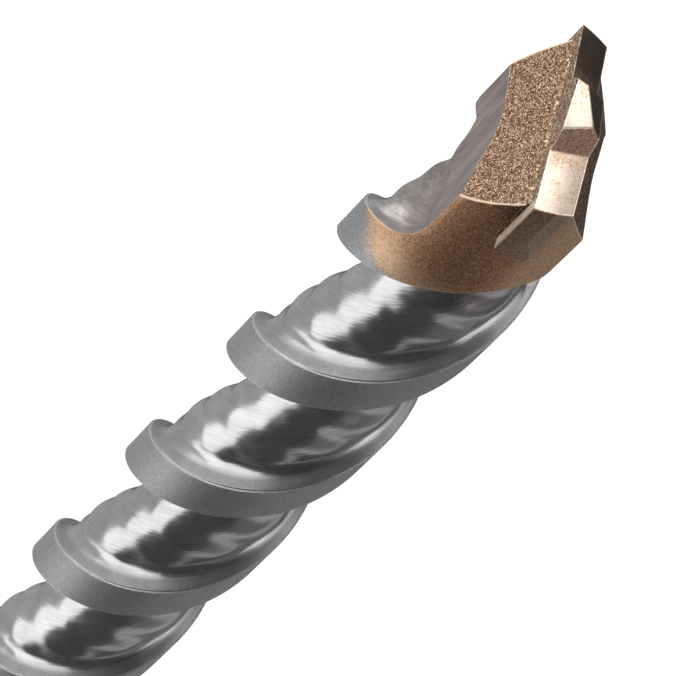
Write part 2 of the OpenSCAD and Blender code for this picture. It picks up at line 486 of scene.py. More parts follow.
class SpiralTree:
    """Node tree that sweeps the fluted part of the body from its driving sizes."""

    HALF_POINTS = 72
    LAND_SHARE = 1.0 / 6.0
    LAND_EASE = 0.13
    LAND_ROUND = 0.06
    RINGS = 560
    HEAD_RINGS = 200
    HEAD_LENGTH = 20.0 * MM
    RIDGE_ROUND = 0.4 * MM
    LEAST = 0.001 * MM
    LEAST_RISE = 0.05
    WALL_END = 0.08
    WALL_STATIONS = 0.16
    RIB_AT = 0.83
    TAPER = 0.9

    def __init__(self, form: SpiralForm) -> None:
        """Starts the tree.

        Args:
            form: The sizes that become the tree's named inputs.
        """
        self.form = form
        self.tree = bpy.data.node_groups.new("FlutedSweep", "GeometryNodeTree")
        self.tree.is_modifier = True
        self.identifiers = {}
        for name in asdict(form):
            socket = self.tree.interface.new_socket(
                name=name, in_out="INPUT", socket_type="NodeSocketFloat")
            self.identifiers[name] = socket.identifier
        self.tree.interface.new_socket(
            name="Geometry", in_out="OUTPUT", socket_type="NodeSocketGeometry")
        group = self.tree.nodes.new("NodeGroupInput")
        self.size = {name: Field(self.tree, group.outputs[name]) for name in asdict(form)}

    def helical_radius(self, share: Field) -> Field:
        """Radius across one flute: steep wall, rising floor, low rib and face up to the land.

        Args:
            share: 0 at the deep side of the flute, 1 at the next land.

        Returns:
            The radius.
        """
        size = self.size
        core, rib, land = size["core_radius"], size["rib_radius"], size["land_radius"]
        wall = core + (land - core) * share.fade(0.0, self.WALL_END)
        rise = (share - self.WALL_END) / (self.RIB_AT - self.WALL_END)
        bed = core + (rib - core) * (rise * (math.pi / 2)).sin()
        climb = (share - self.RIB_AT) / (1.0 - self.RIB_AT)
        face = rib + (land - rib) * climb * climb - size["rib_valley"] * (climb * math.pi).sin()
        return (share < self.WALL_END).pick(wall, (share < self.RIB_AT).pick(bed, face))

    def head_radius(self, angle: Field) -> Field:
        """Radius of the nearly flat head flute.

        Args:
            angle: Angle from the plate.

        Returns:
            The radius, at most that of the land.
        """
        size = self.size
        reach = math.pi - size["trail_angle"] - size["flute_low"]
        offset = (angle - size["flute_low"]) / reach
        bed = size["core_radius"] + size["flute_bow"] * offset * offset
        return (bed / angle.sin().at_least(self.LEAST_RISE)).at_most(size["land_radius"])

    def ring_height(self, row: Field) -> Field:
        """Height of a ring, with the rings closer together in the head.

        Args:
            row: Whole number of the ring, with one closing row at each end.

        Returns:
            The height.
        """
        size = self.size
        body_rings = self.RINGS - 1.0 - self.HEAD_RINGS
        head_from = size["top"] - self.HEAD_LENGTH
        below = ((row - 1.0) / body_rings).at_least(0.0).at_most(1.0)
        above = ((row - 1.0 - body_rings) / self.HEAD_RINGS).at_least(0.0).at_most(1.0)
        return (size["bottom"] + (head_from - size["bottom"]) * below
                + self.HEAD_LENGTH * above)

    def land_edges(self, height: Field) -> Tuple[Field, Field]:
        """Angles of the trailing and the leading edge of the land at a height.

        Args:
            height: The height.

        Returns:
            Both angles, which follow the helix and then stay as they are in the head.
        """
        size = self.size
        climbed = (height - (size["overall_length"] - size["straight_from"])) / size["lead"]
        helix = climbed * (2 * math.pi) - size["trail_angle"]
        trail = soft_min(helix, 0.0 - size["trail_angle"], size["trail_bend"])
        lead = soft_min(helix + size["land_angle"], size["lead_angle"], size["lead_bend"])
        return trail, lead

    def flute_share(self, station: Field) -> Field:
        """Place across a flute, with more points on its steep wall.

        Args:
            station: Evenly spaced place from 0 to 1.

        Returns:
            The place from 0 to 1.
        """
        wall = station * (self.WALL_END / self.WALL_STATIONS)
        bed = (self.WALL_END + (station - self.WALL_STATIONS)
               * ((1.0 - self.WALL_END) / (1.0 - self.WALL_STATIONS)))
        return (station < self.WALL_STATIONS).pick(wall, bed)

    def flute_radius(self, share: Field, angle: Field, height: Field) -> Field:
        """Radius in a flute: the deeper one of helical and head flute, with mill waves.

        Args:
            share: Place across the flute, from 0 to 1.
            angle: Angle from the plate.
            height: The height.

        Returns:
            The radius.
        """
        size = self.size
        land = size["land_radius"]
        turn = size["overall_length"] - size["straight_from"]
        helical_share = (height.blend(size["bottom"], size["bottom"] + size["runout"])
                         * height.fade(turn, turn + size["blend_length"]))
        head_share = height.blend(turn - size["blend_length"], turn)
        helical_depth = helical_share * (land - self.helical_radius(share))
        head_depth = head_share * (land - self.head_radius(angle))
        ridge = helical_depth.at_most(head_depth).at_most(self.RIDGE_ROUND)
        depth = soft_max(helical_depth, head_depth, ridge.at_least(self.LEAST))
        wave = ((height * (2 * math.pi) / size["wave_length"]).sin()
                * (share * math.pi).sin() * helical_share * size["wave_height"])
        return (land - depth + wave).at_most(land - size["edge_round"])

    def place(self, column: Field, row: Field) -> Tuple[Field, Field, Field]:
        """Radius, angle and height of one point of the grid.

        Args:
            column: Place round the body, from 0 to 1.
            row: Whole number of the ring, with one closing row at each end.

        Returns:
            Radius, angle and height.
        """
        size = self.size
        height = self.ring_height(row)
        trail, lead = self.land_edges(height)
        half = (column * 2.0).floor()
        along = column * 2.0 - half
        on_land = along < self.LAND_SHARE
        land_share = along / self.LAND_SHARE
        eased = land_share - self.LAND_EASE * (land_share * (2 * math.pi)).sin()
        share = self.flute_share((along - self.LAND_SHARE) / (1.0 - self.LAND_SHARE))
        flute_angle = lead + share * (trail + math.pi - lead)
        angle = on_land.pick(trail + (lead - trail) * eased, flute_angle)
        from_edge = 1.0 - abs(land_share - 0.5) * 2.0
        land = size["land_radius"] - size["edge_round"] * from_edge.fade(0.0, self.LAND_ROUND)
        radius = on_land.pick(land, self.flute_radius(share, flute_angle, height))
        closing = (row < 0.5) + (row > self.RINGS + 0.5)
        first = (row < 1.5).pick(self.TAPER, 1.0)
        return radius * first * (1.0 - closing), angle + half * math.pi, height

    def build(self, material: bpy.types.Material) -> bpy.types.Object:
        """Finishes the tree and runs it once.

        Args:
            material: The steel's material.

        Returns:
            The fluted part as a plain closed mesh.
        """
        tree, nodes, link = self.tree, self.tree.nodes, self.tree.links.new
        grid = nodes.new("GeometryNodeMeshGrid")
        counts = {"Size X": 1.0, "Size Y": 1.0, "Vertices X": 2 * self.HALF_POINTS + 1,
                  "Vertices Y": self.RINGS + 2}
        for name, value in counts.items():
            grid.inputs[name].default_value = value
        across, up, _ = parts_of(tree, nodes.new("GeometryNodeInputPosition").outputs[0])
        row = ((up + 0.5) * (self.RINGS + 1.0) + 0.5).floor()
        radius, angle, height = self.place(across + 0.5, row)
        moved = nodes.new("GeometryNodeSetPosition")
        link(grid.outputs["Mesh"], moved.inputs["Geometry"])
        link(vector(tree, radius * angle.cos(), radius * angle.sin(), height),
             moved.inputs["Position"])
        closed = nodes.new("GeometryNodeMergeByDistance")
        closed.inputs["Distance"].default_value = self.LEAST
        link(moved.outputs[0], closed.inputs["Geometry"])
        real = nodes.new("GeometryNodeRealizeInstances")
        link(closed.outputs[0], real.inputs["Geometry"])
        painted = nodes.new("GeometryNodeSetMaterial")
        painted.inputs["Material"].default_value = material
        link(real.outputs[0], painted.inputs["Geometry"])
        link(painted.outputs[0], nodes.new("NodeGroupOutput").inputs[0])
        obj = new_object("spiral", bpy.data.meshes.new("spiral"))
        modifier = obj.modifiers.new("sweep", "NODES")
        modifier.node_group = tree
        for name, value in asdict(self.form).items():
            modifier[self.identifiers[name]] = value
        return evaluated(obj)


@dataclass(frozen=True)
class SteelBody:
    """The one-piece steel body: fluted part, milled head, slot, neck and grooved shank."""

    sizes: BitSizes
    past: float = 1.0 * MM
    corner: float = 0.15 * MM
    ball: float = 3.5 * MM
    ball_depth: float = 1.6 * MM
    ball_start: float = 10.5 * MM
    ball_travel: float = 14.0 * MM
    drive_width: float = 4.6 * MM
    drive_depth: float = 1.5 * MM
    drive_length: float = 23.0 * MM
    drive_disc: float = 12.0 * MM
    segments: int = 144
    arc_steps: int = 24
    edge_angle: float = 32.0

    def roof_tool(self) -> bpy.types.Object:
        """Everything above the two roof faces beside the plate."""
        sizes, reach = self.sizes, self.sizes.plate_radius + self.past
        return gable("roof_tool", sizes.ridge, sizes.roof_angle, reach, reach, sizes.roof_skew)

    def slot_tool(self) -> bpy.types.Object:
        """The slot that takes the plate and its braze.

        Returns:
            The closed tool.
        """
        sizes = self.sizes
        reach = sizes.plate_radius + self.past
        half = sizes.plate_thickness / 2 + sizes.braze
        bottom = sizes.overall_length - sizes.plate_height - sizes.braze
        outline = [(-reach, -half), (reach, -half), (reach, half), (-reach, half)]
        return prism("slot_tool", outline, bottom, sizes.overall_length + self.past)

    def ball_groove_tool(self, turn: float) -> bpy.types.Object:
        """One closed groove of the shank, as a ball on its way along the shank leaves it.

        Args:
            turn: Angle of the groove from +Y, in radians.

        Returns:
            The closed tool.
        """
        quarter = math.pi / 2
        end = self.ball_start + self.ball_travel
        profile = arc((0.0, self.ball_start), self.ball, -quarter, 0.0, self.arc_steps)
        profile += arc((0.0, end), self.ball, 0.0, quarter, self.arc_steps)
        tool = lathe("ball_groove", profile, self.segments // 2)
        out = self.sizes.shank_radius - self.ball_depth + self.ball
        tool.data.transform(Matrix.Rotation(turn, 4, "Z") @ Matrix.Translation((0.0, out, 0.0)))
        return tool

    def drive_groove_tool(self, turn: float) -> bpy.types.Object:
        """One open driving groove of the shank, run out by a disc cutter.

        Args:
            turn: Angle of the groove from +X, in radians.

        Returns:
            The closed tool.
        """
        depth, disc = self.drive_depth, self.drive_disc
        bed = self.sizes.shank_radius - depth
        end_angle = math.acos(1.0 - 2.0 * depth / disc)
        outline = [(bed, -self.past), (bed + 2 * depth, -self.past)]
        outline += arc((bed + disc, self.drive_length), disc, math.pi - end_angle, math.pi,
                       self.arc_steps)
        across = Matrix(((1, 0, 0, 0), (0, 0, -1, 0), (0, 1, 0, 0), (0, 0, 0, 1)))
        return prism("drive_groove", outline, -self.drive_width / 2, self.drive_width / 2,
                     Matrix.Rotation(turn, 4, "Z") @ across)

    def shank(self) -> bpy.types.Object:
        """Turned shank and neck with the two pairs of grooves.

        Returns:
            The closed shank, which reaches a little into the fluted part.
        """
        sizes, corner = self.sizes, self.corner
        radius, chamfer, length = sizes.shank_radius, sizes.end_chamfer, sizes.shank_length
        top = sizes.spiral_bottom + self.past
        profile = [(0.0, 0.0), (radius - chamfer - corner, 0.0), (radius - chamfer, corner / 2),
                   (radius - corner / 2, chamfer), (radius, chamfer + corner),
                   (radius, length - corner), (radius - corner / 2, length),
                   (sizes.neck_radius, length + sizes.neck_cone), (sizes.neck_radius, top),
                   (0.0, top)]
        body = lathe("shank", profile, self.segments)
        for turn in (sizes.groove_turn, sizes.groove_turn + math.pi):
            shape_with(body, self.ball_groove_tool(turn), Cut.REMOVE)
            shape_with(body, self.drive_groove_tool(turn), Cut.REMOVE)
        return body

    def build(self, material: bpy.types.Material) -> bpy.types.Object:
        """Makes the whole body and hangs it on the frame.

        Args:
            material: The steel's material.

        Returns:
            The finished piece.
        """
        sizes = self.sizes
        form = SpiralForm(overall_length=sizes.overall_length, bottom=sizes.spiral_bottom,
                          top=sizes.overall_length - sizes.roof_drop / 2, lead=sizes.lead,
                          land_radius=sizes.land_radius, straight_from=sizes.straight_from)
        body = SpiralTree(form).build(material)
        shape_with(body, self.roof_tool(), Cut.REMOVE)
        shape_with(body, self.slot_tool(), Cut.REMOVE)
        shape_with(body, self.shank(), Cut.JOIN)
        body.name = "steel_body"
        smooth_with_edges(body, self.edge_angle)
        dressed(body, material)
        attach(body, BODY)
        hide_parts("drill_body")
        return body


@dataclass(frozen=True)
class CuttingPlate:
    """The hard metal plate with its centring point and two wings."""

    sizes: BitSizes
    past: float = 1.0 * MM
    point_length: float = 1.85 * MM
    point_height: float = 1.36 * MM
    point_slope: float = math.radians(33.0)
    point_skew: float = math.radians(18.0)
    step_slope: float = math.radians(56.0)
    wing_fall: float = math.radians(3.5)
    wing_clearance: float = math.radians(24.0)
    end_steps: int = 6
    edge_width: float = 0.07 * MM
    edge_steps: int = 3
    bevel_angle: float = math.radians(20.0)
    flat_angle: float = math.radians(0.5)
    edge_angle: float = 25.0

    @property
    def step_foot(self) -> float:
        """Distance from the axis to the foot of the steps beside the point."""
        return self.point_length / 2 + self.point_height / math.tan(self.step_slope)

    def blank(self) -> bpy.types.Object:
        """The plate before its point and wings are ground.

        Returns:
            The closed blank.
        """
        sizes = self.sizes
        half = sizes.plate_thickness / 2
        reach = math.asin(half / sizes.plate_radius)
        outline = []
        for turn in (0.0, math.pi):
            outline += arc((0.0, 0.0), sizes.plate_radius, turn - reach, turn + reach,
                           self.end_steps)
        return prism("blank", outline, sizes.overall_length - sizes.plate_height,
                     sizes.overall_length + self.past)

    def ridge_tool(self) -> bpy.types.Object:
        """Everything above the two sides of the centring point."""
        sizes, reach = self.sizes, self.sizes.plate_radius
        return gable("ridge_tool", sizes.overall_length, self.point_slope, reach, 2 * reach,
                     self.point_skew)

    def wing_tool(self, turn: float) -> bpy.types.Object:
        """Everything above the step and the flank of one wing.

        Args:
            turn: 0 for the +X wing, half a turn for the other, in radians.

        Returns:
            The closed tool.
        """
        top, reach = self.sizes.overall_length, self.sizes.plate_radius + self.past
        foot_x, foot_z = self.step_foot, top - self.point_height
        high = top + reach
        outline = [(self.point_length / 2 - reach / math.tan(self.step_slope), high),
                   (foot_x, foot_z),
                   (reach, foot_z - (reach - foot_x) * math.tan(self.wing_fall)), (reach, high)]
        clearance = math.tan(self.wing_clearance)
        lean = Matrix(((1, 0, 0, 0), (0, 0, -1, 0), (0, 1, -clearance, 0), (0, 0, 0, 1)))
        return prism("wing_tool", outline, -reach, reach, Matrix.Rotation(turn, 4, "Z") @ lean)

    def build(self, material: bpy.types.Material) -> bpy.types.Object:
        """Makes the plate and hangs it on the frame.

        Args:
            material: The hard metal's material.

        Returns:
            The finished piece.
        """
        plate = self.blank()
        for tool in (self.ridge_tool(), self.wing_tool(0.0), self.wing_tool(math.pi)):
            shape_with(plate, tool, Cut.REMOVE)
        clean = bmesh.new()
        clean.from_mesh(plate.data)
        bmesh.ops.dissolve_limit(clean, angle_limit=self.flat_angle, verts=clean.verts,
                                 edges=clean.edges)
        clean.to_mesh(plate.data)
        clean.free()
        bevel = plate.modifiers.new("worn_edges", "BEVEL")
        bevel.width = self.edge_width
        bevel.segments = self.edge_steps
        bevel.limit_method = "ANGLE"
        bevel.angle_limit = self.bevel_angle
        evaluated(plate)
        plate.name = "cutting_plate"
        smooth_with_edges(plate, self.edge_angle)
        dressed(plate, material)
        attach(plate, BODY)
        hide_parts("carbide_plate")
        return plate


@dataclass(frozen=True)
class BrazeSeam:
    """The braze round the foot of the plate, shown as it was packed."""

    node: str = "braze_layer"

    def build(self, material: bpy.types.Material) -> bpy.types.Object:
        """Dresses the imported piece.

        Args:
            material: The braze's material.

        Returns:
            The piece.
        """
        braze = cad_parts[self.node]
        dressed(braze, material)
        return braze


def noise(tree: bpy.types.NodeTree, position: bpy.types.NodeSocket, scale: Value,
          detail: float = 2.0) -> Field:
    """Smooth noise between 0 and 1.

    Args:
        tree: The node tree.
        position: Where the noise is read.
        scale: Blotches per unit of length.
        detail: How many finer layers lie on it.

    Returns:
        The noise.
    """
    node = tree.nodes.new("ShaderNodeTexNoise")
    node.inputs["Detail"].default_value = detail
    Field.feed(tree, scale, node.inputs["Scale"])
    tree.links.new(position, node.inputs["Vector"])
    return Field(tree, node.outputs[0])


class Effect:
    """A surface effect as a shader node group, built once and placed in each material."""

    NAME = ""
    INPUTS: Dict[str, float] = {}

    def __init__(self) -> None:
        """Builds the group from the results of the effect."""
        self.tree = bpy.data.node_groups.new(self.NAME, "ShaderNodeTree")
        face = self.tree.interface
        face.new_socket(name="Position", in_out="INPUT", socket_type="NodeSocketVector")
        for name, value in self.INPUTS.items():
            socket = face.new_socket(name=name, in_out="INPUT", socket_type="NodeSocketFloat")
            socket.default_value = value
        group = self.tree.nodes.new("NodeGroupInput")
        self.position = group.outputs["Position"]
        self.given = {name: Field(self.tree, group.outputs[name]) for name in self.INPUTS}
        results = self.results()
        for name in results:
            face.new_socket(name=name, in_out="OUTPUT", socket_type="NodeSocketFloat")
        end = self.tree.nodes.new("NodeGroupOutput")
        for name, field in results.items():
            self.tree.links.new(field.socket, end.inputs[name])

    def results(self) -> Dict[str, Field]:
        """Named outputs of the effect."""
        raise NotImplementedError

    def place(self, tree: bpy.types.NodeTree, position: bpy.types.NodeSocket,
              **values: Value) -> Dict[str, Field]:
        """Places the group in a material.

        Args:
            tree: The material's node tree.
            position: Where the effect is read.
            values: Values for the named inputs, in small letters.

        Returns:
            The outputs by name.
        """
        node = tree.nodes.new("ShaderNodeGroup")
        node.node_tree = self.tree
        tree.links.new(position, node.inputs["Position"])
        for name, value in values.items():
            Field.feed(tree, value, node.inputs[name.capitalize()])
        return {socket.name: Field(tree, socket) for socket in node.outputs}


class BlastGrain(Effect):
    """Pitted grain of a blasted surface: one tone for each pit, and some that sparkle."""

    NAME = "blast_grain"
    INPUTS = {"Pit": 0.1 * MM, "Sparkling": 0.12}
    DEPTH = 0.35
    PIT_DEPTH = 0.5
    PIT_TONE = 0.6
    FINE_SCALE = 0.6
    SPARKLE_BORDER = 0.04

    def results(self) -> Dict[str, Field]:
        """Works out the grain.

        Returns:
            Tone and sparkle between 0 and 1, and height in metres.
        """
        pit, dull = self.given["Pit"], 1.0 - self.given["Sparkling"]
        cells = self.tree.nodes.new("ShaderNodeTexVoronoi")
        self.tree.links.new(self.position, cells.inputs["Vector"])
        self.tree.links.new((1.0 / pit).socket, cells.inputs["Scale"])
        tone, chance, _ = parts_of(self.tree, cells.outputs["Color"])
        fine = noise(self.tree, self.position, self.FINE_SCALE / pit)
        return {"Tone": tone * self.PIT_TONE + fine * (1.0 - self.PIT_TONE),
                "Sparkle": chance.blend(dull, dull + self.SPARKLE_BORDER),
                "Height": (tone * self.PIT_DEPTH + fine) * pit * self.DEPTH}


class GroundLines(Effect):
    """Fine lines of a ground or drawn surface, thin across and long along a direction."""

    NAME = "ground_lines"
    INPUTS = {"Spacing": 0.1 * MM, "Stretch": 20.0}
    DEPTH = 0.06
    BROAD = 0.15
    FINE_TONE = 0.6
    CONTRAST: Band = (0.3, 0.7)

    def results(self) -> Dict[str, Field]:
        """Works out the lines, which run along Z of the position.

        Returns:
            Tone between 0 and 1, and height in metres.
        """
        x, y, z = parts_of(self.tree, self.position)
        drawn = vector(self.tree, x, y, z / self.given["Stretch"])
        lines = noise(self.tree, drawn, 1.0 / self.given["Spacing"], detail=3.0)
        broad = noise(self.tree, drawn, self.BROAD / self.given["Spacing"], detail=1.0)
        tone = lines * self.FINE_TONE + broad * (1.0 - self.FINE_TONE)
        return {"Tone": tone.blend(*self.CONTRAST),
                "Height": lines * self.given["Spacing"] * self.DEPTH}


class EdgeWearAndHighlight(Effect):
    """Ragged pale line along an edge, for edge wear and painted edge highlight."""

    NAME = "worn_edge"
    INPUTS = {"Distance": 0.0, "Width": 0.1 * MM}
    RAGS = 0.12 * MM
    LEAST_WIDTH = 0.35
    RAGGED_WIDTH = 1.3
    CORE = 0.4

    def results(self) -> Dict[str, Field]:
        """Works out the line.

        Returns:
            Mask that is 1 on the worn line.
        """
        ragged = noise(self.tree, self.position, 1.0 / self.RAGS, detail=1.0)
        reach = self.given["Width"] * (self.LEAST_WIDTH + ragged * self.RAGGED_WIDTH)
        return {"Mask": abs(self.given["Distance"]).fade(reach * self.CORE, reach)}


@dataclass(frozen=True)
class Effects:
    """The effects that the materials share."""

    grain: BlastGrain
    lines: GroundLines
    worn: EdgeWearAndHighlight


class Surface:
    """A metal material under construction, with its place on the piece."""

    def __init__(self, name: str, effects: Effects) -> None:
        """Starts the material.

        Args:
            name: Name of the material.
            effects: The shared effects.
        """
        self.effects = effects
        self.material = bpy.data.materials.new(name)
        self.material.use_nodes = True
        self.tree = self.material.node_tree
        self.shader = self.tree.nodes["Principled BSDF"]
        self.shader.inputs["Metallic"].default_value = 1.0
        self.position = self.tree.nodes.new("ShaderNodeTexCoord").outputs["Object"]
        self.x, self.y, self.z = parts_of(self.tree, self.position)
        self.radius = hypotenuse(self.x, self.y)

    def grain(self, pit: float, sparkling: float) -> Dict[str, Field]:
        """Places blasted grain with pits of a size, and a share of them that sparkles."""
        return self.effects.grain.place(self.tree, self.position, pit=pit, sparkling=sparkling)

    def lines(self, *place: Value, spacing: float, stretch: float) -> Dict[str, Field]:
        """Places ground lines that run along the third part of a place."""
        return self.effects.lines.place(self.tree, vector(self.tree, *place), spacing=spacing,
                                        stretch=stretch)

    def worn(self, distance: Field, width: float) -> Field:
        """Mask of a ragged pale edge line at a distance of 0, for edge wear and painted edge
        highlight.
        """
        return self.effects.worn.place(self.tree, self.position, distance=distance,
                                       width=width)["Mask"]

    def blotches(self, size: float, detail: float) -> Field:
        """Smooth noise with blotches of a size."""
        return noise(self.tree, self.position, 1.0 / size, detail)

    def feed(self, value: Tint, socket: bpy.types.NodeSocket) -> None:
        """Links a colour to an input, or writes a plain colour there.

        Args:
            value: A colour, or the output that carries one.
            socket: The input.
        """
        if isinstance(value, bpy.types.NodeSocket):
            self.tree.links.new(value, socket)
        else:
            socket.default_value = (*value, 1.0)[:len(socket.default_value)]

    def mixed(self, share: Value, first: Tint, second: Tint) -> bpy.types.NodeSocket:
        """Mixes two colours.

        Args:
            share: Share of the second colour.
            first: A colour, or the output that carries one.
            second: A colour, or the output that carries one.

        Returns:
            The output that carries the mixed colour.
        """
        node = self.tree.nodes.new("ShaderNodeMix")
        node.data_type = "RGBA"
        share_in, first_in, second_in = node.inputs[0], node.inputs[6], node.inputs[7]
        Field.feed(self.tree, share, share_in)
        self.feed(first, first_in)
        self.feed(second, second_in)
        return node.outputs[2]

    def scaled(self, colour: Tint, factor: Field) -> bpy.types.NodeSocket:
        """Makes a colour lighter or darker by a factor that changes over the surface.

        Args:
            colour: A colour, or the output that carries one.
            factor: The factor.

        Returns:
            The output that carries the result.
        """
        node = self.tree.nodes.new("ShaderNodeVectorMath")
        node.operation = "SCALE"
        self.feed(colour, node.inputs[0])
        self.tree.links.new(factor.socket, node.inputs["Scale"])
        return node.outputs[0]

    def finish(self, colour: bpy.types.NodeSocket, roughness: Field,
               height: Field) -> bpy.types.Material:
        """Feeds the shader.

        Args:
            colour: Base colour.
            roughness: Roughness between 0 and 1.
            height: Height of the surface's fine relief, in metres.

        Returns:
            The finished material.
        """
        bump = self.tree.nodes.new("ShaderNodeBump")
        bump.inputs["Distance"].default_value = 1.0
        self.tree.links.new(height.socket, bump.inputs["Height"])
        self.tree.links.new(bump.outputs["Normal"], self.shader.inputs["Normal"])
        self.tree.links.new(colour, self.shader.inputs["Base Color"])
        self.tree.links.new(roughness.socket, self.shader.inputs["Roughness"])
        return self.material


class SteelSurface(Surface):
    """The steel's material under construction, with masks that tell the body's faces apart.

    A band holds the two values between which a mask runs from one end to the other: depths
    under a face, heights over the border of the heat tint, or distances from a face.
    """

    LAND_DEPTH: Band = (0.06 * MM, 0.12 * MM)
    SHOULDER_DEPTH: Band = (0.06 * MM, 0.14 * MM)
    ROOF_DEPTH: Band = (0.03 * MM, 0.10 * MM)
    MILLED_DEPTH: Band = (0.1 * MM, 0.3 * MM)
    SHANK_BORDER = 1.0 * MM
    RIM_DEPTH = 0.09 * MM
    RIM_WIDTH = 0.05 * MM
    CLOUD_RAGS = 1.6 * MM
    GRAIN_RAGS = 0.9 * MM
    TINT_HEIGHT: Band = (-0.25 * MM, 0.25 * MM)
    FLUTE_TINT_HEIGHT: Band = (-4.0 * MM, 6.0 * MM)
    BRIGHT_HEIGHT: Band = (0.6 * MM, 3.4 * MM)
    BRIGHT_TONE: Band = (0.25, 0.7)
    DULLEST = 0.5
    LEADING_SHARE = 0.75
    LEADING_FROM_PLATE: Band = (0.1 * MM, 1.6 * MM)
    SLOT_FROM_PLATE: Band = (1.0 * MM, 2.0 * MM)
    SLOT_FROM_TIP: Band = (3.6 * MM, 5.4 * MM)
    FACE_RADIUS: Band = (3.75 * MM, 4.1 * MM)

    def __init__(self, finish: "SteelFinish", sizes: BitSizes, effects: Effects) -> None:
        """Places the effects, and works out the masks from 0 to 1.

        Args:
            finish: Sizes of the grain and of the tint.
            sizes: Driving sizes of the bit.
            effects: The shared effects.
        """
        super().__init__("heat_tinted_steel", effects)
        self.coarse = self.grain(finish.coarse_pit, sparkling=0.2)
        self.fine = self.grain(finish.fine_pit, sparkling=0.1)
        self.streaks = self.lines(*self.untwisted(sizes), spacing=0.16 * MM, stretch=14.0)
        self.turned = self.lines(self.radius, self.z, 0.0, spacing=0.09 * MM, stretch=30.0)
        self.clouds = self.blotches(size=1.6 * MM, detail=3.0)
        self.mask_faces(sizes)
        self.mask_tints(finish, sizes)

    def untwisted(self, sizes: BitSizes) -> Tuple[Field, Field, Field]:
        """Place with the twist of the spiral taken out, so that lines run along the flutes.

        Args:
            sizes: Driving sizes of the bit.

        Returns:
            The three parts of the place.
        """
        turn = self.z.at_most(sizes.head_bottom) * (2 * math.pi / sizes.lead)
        across = self.x * turn.cos() + self.y * turn.sin()
        side = self.y * turn.cos() - self.x * turn.sin()
        return across, side, self.z

    def mask_faces(self, sizes: BitSizes) -> None:
        """Masks of the lands, roof faces, shank and flutes, and of the pale edge lines with edge
        wear and painted edge highlight.

        Args:
            sizes: Driving sizes of the bit.
        """
        below_land, bottom = sizes.land_radius - self.radius, sizes.spiral_bottom
        skewed = self.y * math.cos(sizes.roof_skew) - self.x * math.sin(sizes.roof_skew)
        below_roof = sizes.ridge - abs(skewed) * math.tan(sizes.roof_angle) - self.z
        self.land = below_land.fade(*self.LAND_DEPTH)
        self.roof = below_roof.fade(*self.ROOF_DEPTH)
        self.shank = self.z.fade(bottom - self.SHANK_BORDER, bottom + self.SHANK_BORDER)
        self.milled = self.shank * (sizes.shank_radius - self.radius).blend(*self.MILLED_DEPTH)
        self.flutes = (1.0 - self.land) * (1.0 - self.roof) * (1.0 - self.shank)
        self.shoulder = self.roof * below_land.fade(*self.SHOULDER_DEPTH)
        # pale line on the land edges and on the roof's shoulder: edge wear and painted edge
        # highlight where the rounded edges catch the light
        rim = self.worn(below_land - self.RIM_DEPTH, self.RIM_WIDTH) * (1.0 - self.shank)
        self.edge = (rim * (1.0 - self.roof) + self.shoulder).at_most(1.0)

    def mask_tints(self, finish: "SteelFinish", sizes: BitSizes) -> None:
        """Masks of the heat tint, of the copper band that is partly heat-tint colour and partly
        painted highlight, and of where the copper is rough.

        Args:
            finish: Sizes of the tint.
            sizes: Driving sizes of the bit.
        """
        tone, wing_side, from_plate = self.fine["Tone"], self.y * self.x, abs(self.y)
        from_tip = sizes.overall_length - self.z
        over_line = finish.tint_from - from_tip
        ragged = (over_line + (self.clouds - 0.5) * self.CLOUD_RAGS
                  + (tone - 0.5) * self.GRAIN_RAGS)
        self.tinted = ragged.blend(*self.TINT_HEIGHT)
        self.flute_tint = over_line.blend(*self.FLUTE_TINT_HEIGHT)
        self.face = (self.radius.blend(*self.FACE_RADIUS) * (1.0 - self.land)
                     * (1.0 - self.flute_tint))
        # lighter copper band along the tint border and on the leading side: partly heat-tint
        # colour, partly painted highlight
        leading = (wing_side > 0.0) * from_plate.blend(*self.LEADING_FROM_PLATE)
        bright = over_line.fade(*self.BRIGHT_HEIGHT).at_least(leading * self.LEADING_SHARE)
        shine = self.DULLEST + tone.blend(*self.BRIGHT_TONE) * (1.0 - self.DULLEST)
        self.bright = bright * shine
        self.beside_slot = ((wing_side < 0.0) * self.land
                            * from_plate.fade(*self.SLOT_FROM_PLATE)
                            * from_tip.fade(*self.SLOT_FROM_TIP))


